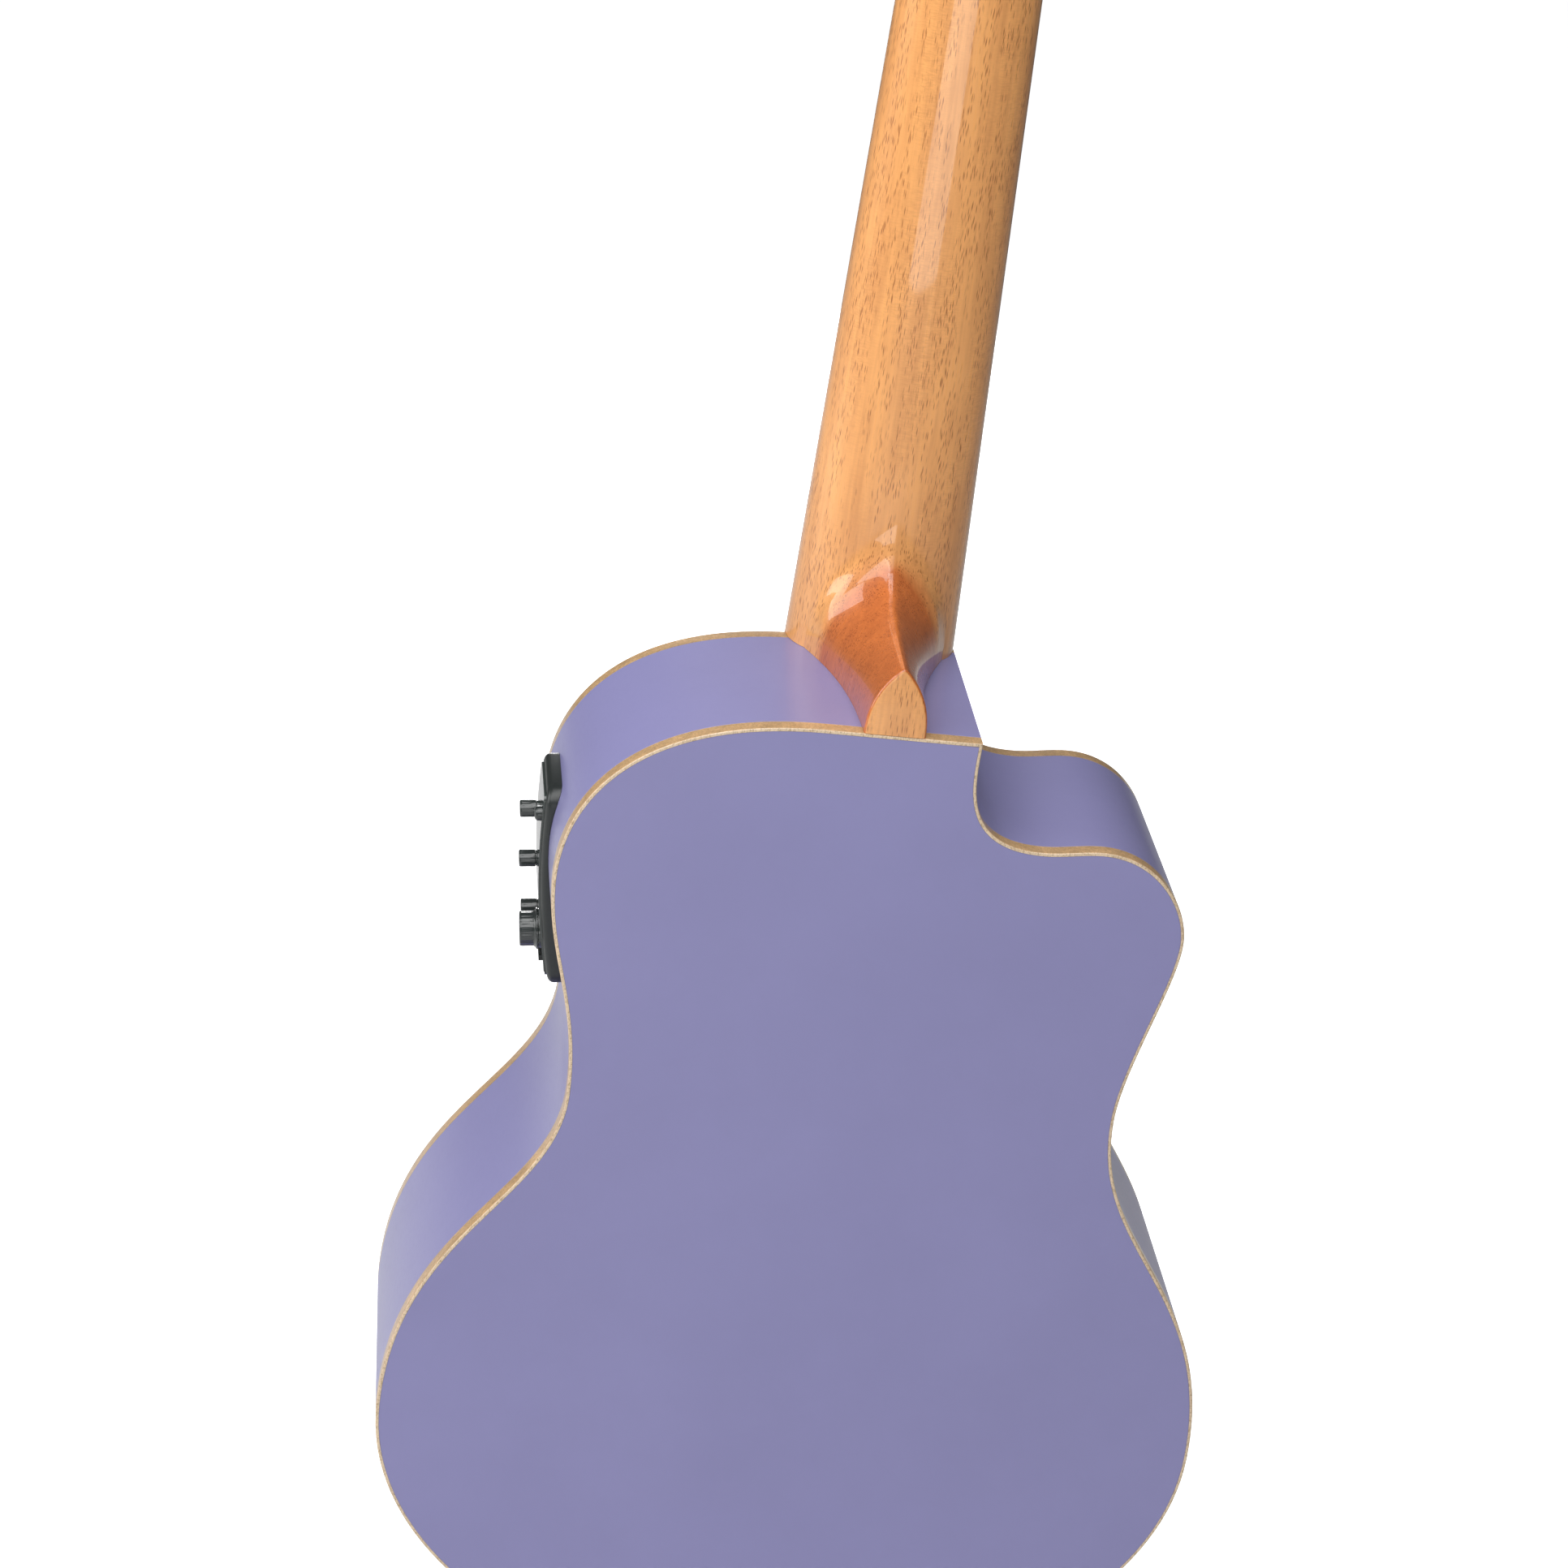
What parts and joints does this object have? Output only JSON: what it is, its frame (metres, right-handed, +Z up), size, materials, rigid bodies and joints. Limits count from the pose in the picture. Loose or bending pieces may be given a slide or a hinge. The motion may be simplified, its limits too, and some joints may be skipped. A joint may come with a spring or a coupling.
{
  "type": "tenor ukulele",
  "caption": "Cutaway tenor ukulele with a lavender body, pale binding, glossy heeled neck, side preamp with turning knobs and battery drawer, and geared tuners that turn.",
  "frame": {"origin": "on the centre plane at the nut line, in the plane of the soundboard, where a hanger's fork takes the neck under the headstock's flare", "axes": "+Z up the neck to the headstock, +Y to the back, +X to the bass side that carries the preamp; the cutaway is at -X"},
  "size_m": [0.23, 0.0861, 0.6799],
  "materials": {
    "lavender_paint": "satin lavender lacquer over laminated tonewood",
    "binding": "clear-coated pale maple binding",
    "neck_wood": "gloss varnish over orange-brown mahogany",
    "inner_wood": "bare spruce and basswood",
    "dark_wood": "oiled dark hardwood",
    "bone": "polished bone-white moulding",
    "chrome": "bright plated metal",
    "black_plastic": "satin black moulding",
    "panel_gloss": "gloss black panel",
    "button_plastic": "gloss black tuner buttons",
    "string_nylon": "clear synthetic string",
    "cell_steel": "bare steel can of a coin cell"
  },
  "bodies": {
    "instrument": {"soundboard": "lavender_paint", "side_bass": "lavender_paint", "side_treble": "lavender_paint", "back_plate": "lavender_paint", "top_binding": "binding", "back_binding": "binding", "top_lining": "inner_wood", "back_lining": "inner_wood", "neck_block": "inner_wood", "tail_block": "inner_wood", "upper_top_brace": "inner_wood", "lower_top_brace": "inner_wood", "upper_back_brace": "inner_wood", "lower_back_brace": "inner_wood", "bridge_patch": "inner_wood", "neck": "neck_wood", "head_veneer": "dark_wood", "fretboard": "dark_wood", "nut": "bone", "bridge": "dark_wood", "saddle": "bone", "saddle_pickup": "chrome", "preamp_bezel": "black_plastic", "preamp_housing": "panel_gloss", "output_jack": "chrome", "string_1": "string_nylon", "string_2": "string_nylon", "string_3": "string_nylon", "string_4": "string_nylon", "tuner_plate_1": "chrome", "tuner_plate_2": "chrome", "tuner_plate_3": "chrome", "tuner_plate_4": "chrome", "tuner_bushing_1": "chrome", "tuner_bushing_2": "chrome", "tuner_bushing_3": "chrome", "tuner_bushing_4": "chrome"},
    "tuner_key_1": {"tuner_worm_1": "chrome", "tuner_button_1": "button_plastic"},
    "tuner_post_1": {"tuner_post_1": "chrome", "string_winding_1": "string_nylon"},
    "tuner_key_2": {"tuner_worm_2": "chrome", "tuner_button_2": "button_plastic"},
    "tuner_post_2": {"tuner_post_2": "chrome", "string_winding_2": "string_nylon"},
    "tuner_key_3": {"tuner_worm_3": "chrome", "tuner_button_3": "button_plastic"},
    "tuner_post_3": {"tuner_post_3": "chrome", "string_winding_3": "string_nylon"},
    "tuner_key_4": {"tuner_worm_4": "chrome", "tuner_button_4": "button_plastic"},
    "tuner_post_4": {"tuner_post_4": "chrome", "string_winding_4": "string_nylon"},
    "volume_knob": {"knob_volume": "black_plastic"},
    "bass_knob": {"knob_bass": "black_plastic"},
    "middle_knob": {"knob_middle": "black_plastic"},
    "treble_knob": {"knob_treble": "black_plastic"},
    "preamp_button": {"preamp_button": "black_plastic"},
    "battery_drawer": {"battery_tray": "black_plastic", "coin_cell": "cell_steel"}
  },
  "joints": [
    {"name": "key_1_turn", "type": "hinge", "parent": "instrument", "child": "tuner_key_1", "pos_m": [-0.0165, 0.02249, 0.02686], "axis": [1, 0, 0], "continuous": true},
    {"name": "post_1_turn", "type": "hinge", "parent": "instrument", "child": "tuner_post_1", "pos_m": [-0.0165, 0.00742, 0.03715], "axis": [0, 0.9744, -0.225], "continuous": true},
    {"name": "key_2_turn", "type": "hinge", "parent": "instrument", "child": "tuner_key_2", "pos_m": [-0.0165, 0.03284, 0.07168], "axis": [1, 0, 0], "continuous": true},
    {"name": "post_2_turn", "type": "hinge", "parent": "instrument", "child": "tuner_post_2", "pos_m": [-0.0165, 0.01777, 0.08198], "axis": [0, 0.9744, -0.225], "continuous": true},
    {"name": "key_3_turn", "type": "hinge", "parent": "instrument", "child": "tuner_key_3", "pos_m": [0.0165, 0.03284, 0.07168], "axis": [1, 0, 0], "continuous": true},
    {"name": "post_3_turn", "type": "hinge", "parent": "instrument", "child": "tuner_post_3", "pos_m": [0.0165, 0.01777, 0.08198], "axis": [0, 0.9744, -0.225], "continuous": true},
    {"name": "key_4_turn", "type": "hinge", "parent": "instrument", "child": "tuner_key_4", "pos_m": [0.0165, 0.02249, 0.02686], "axis": [1, 0, 0], "continuous": true},
    {"name": "post_4_turn", "type": "hinge", "parent": "instrument", "child": "tuner_post_4", "pos_m": [0.0165, 0.00742, 0.03715], "axis": [0, 0.9744, -0.225], "continuous": true},
    {"name": "volume_knob_turn", "type": "hinge", "parent": "instrument", "child": "volume_knob", "pos_m": [0.08314, 0.0331, -0.32], "axis": [0.9936, 0, -0.1132], "range_deg": [-135, 135]},
    {"name": "bass_knob_turn", "type": "hinge", "parent": "instrument", "child": "bass_knob", "pos_m": [0.08654, 0.02, -0.29019], "axis": [0.9936, 0, -0.1132], "range_deg": [-135, 135]},
    {"name": "middle_knob_turn", "type": "hinge", "parent": "instrument", "child": "middle_knob", "pos_m": [0.08484, 0.02, -0.3051], "axis": [0.9936, 0, -0.1132], "range_deg": [-135, 135]},
    {"name": "treble_knob_turn", "type": "hinge", "parent": "instrument", "child": "treble_knob", "pos_m": [0.08314, 0.02, -0.32], "axis": [0.9936, 0, -0.1132], "range_deg": [-135, 135]},
    {"name": "preamp_button_press", "type": "slide", "parent": "instrument", "child": "preamp_button", "axis": [-0.9936, 0, 0.1132], "range_m": [0, 0.0008], "stiffness_N_per_m": 400},
    {"name": "battery_drawer_slide", "type": "slide", "parent": "instrument", "child": "battery_drawer", "axis": [0.9936, 0, -0.1132], "range_m": [0, 0.024]}
  ],
  "couplings": [
    {"joint": "post_1_turn", "follows": "key_1_turn", "ratio": 0.071429},
    {"joint": "post_2_turn", "follows": "key_2_turn", "ratio": 0.071429},
    {"joint": "post_3_turn", "follows": "key_3_turn", "ratio": 0.071429},
    {"joint": "post_4_turn", "follows": "key_4_turn", "ratio": 0.071429}
  ]
}
